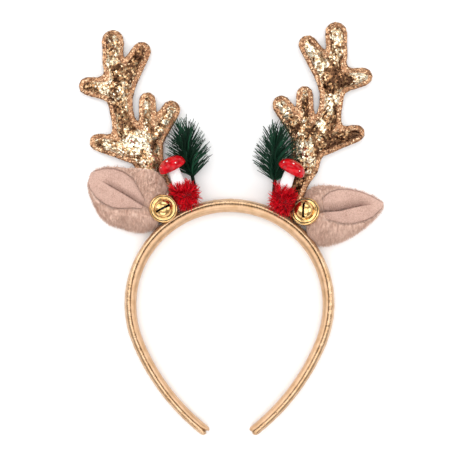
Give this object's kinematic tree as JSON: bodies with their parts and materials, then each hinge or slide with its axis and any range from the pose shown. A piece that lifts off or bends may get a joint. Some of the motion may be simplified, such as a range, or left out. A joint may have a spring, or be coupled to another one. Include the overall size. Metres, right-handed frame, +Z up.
{
  "type": "reindeer antler headband",
  "caption": "Gold hair band with padded glitter antlers, folded plush ears, brass jingle bells, red tinsel pompoms, toadstools and pine sprigs.",
  "frame": {"origin": "middle of the overall box on the table, with the headband lying on its back", "axes": "+X across the head to the viewer's right, +Y from the hoop's tips up to the antlers, +Z up from the table, towards the wearer's front"},
  "size_m": [0.2, 0.2706, 0.0267],
  "materials": {
    "band_leather": "metallic gold leatherette, satin",
    "lining_leather": "metallic gold leatherette, smooth and satin",
    "glitter": "copper and champagne glitter cloth, sparkling",
    "plush": "short taupe plush, matt",
    "suede": "smooth brushed cloth, matt",
    "brass": "polished",
    "steel": "plain",
    "tinsel": "metallised red film",
    "red_paint": "lacquered, glossy",
    "white_foam": "dense foam, matt",
    "pine": "moulded needles, slightly waxy"
  },
  "bodies": {
    "root": {"band": "band_leather", "band_lining": "lining_leather", "antler_left": "glitter", "ear_left": "plush", "ear_lining_left": "suede", "bell_left": "brass", "bell_pellet_left": "steel", "pompom_left": "tinsel", "toadstool_cap_left": "red_paint", "toadstool_stalk_left": "white_foam", "pine_sprig_left": "pine", "antler_right": "glitter", "ear_right": "plush", "ear_lining_right": "suede", "bell_right": "brass", "bell_pellet_right": "steel", "pompom_right": "tinsel", "toadstool_cap_right": "red_paint", "toadstool_stalk_right": "white_foam", "pine_sprig_right": "pine"}
  },
  "joints": []
}
